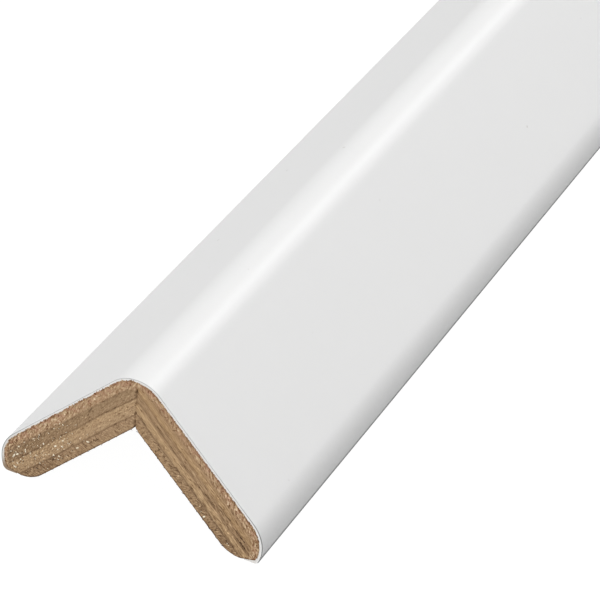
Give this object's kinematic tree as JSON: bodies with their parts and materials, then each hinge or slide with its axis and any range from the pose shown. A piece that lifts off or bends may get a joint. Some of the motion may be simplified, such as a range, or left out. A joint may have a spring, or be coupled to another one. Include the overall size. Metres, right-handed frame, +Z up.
{
  "type": "corner guard moulding",
  "caption": "Right-angled corner guard strip of folded plywood wrapped in white satin foil, with a rounded ridge and rounded edges, glued over a wall's outer corner.",
  "frame": {"origin": "on the floor under the ridge, halfway along the length", "axes": "+Z up through the ridge, +Y along the length, +X across from one leg to the other"},
  "size_m": [0.0358, 1, 0.0204],
  "materials": {
    "plywood": "raw plywood, saw-cut ends",
    "foil": "satin white"
  },
  "bodies": {
    "root": {"wood_core": "plywood", "white_foil": "foil"}
  },
  "joints": []
}
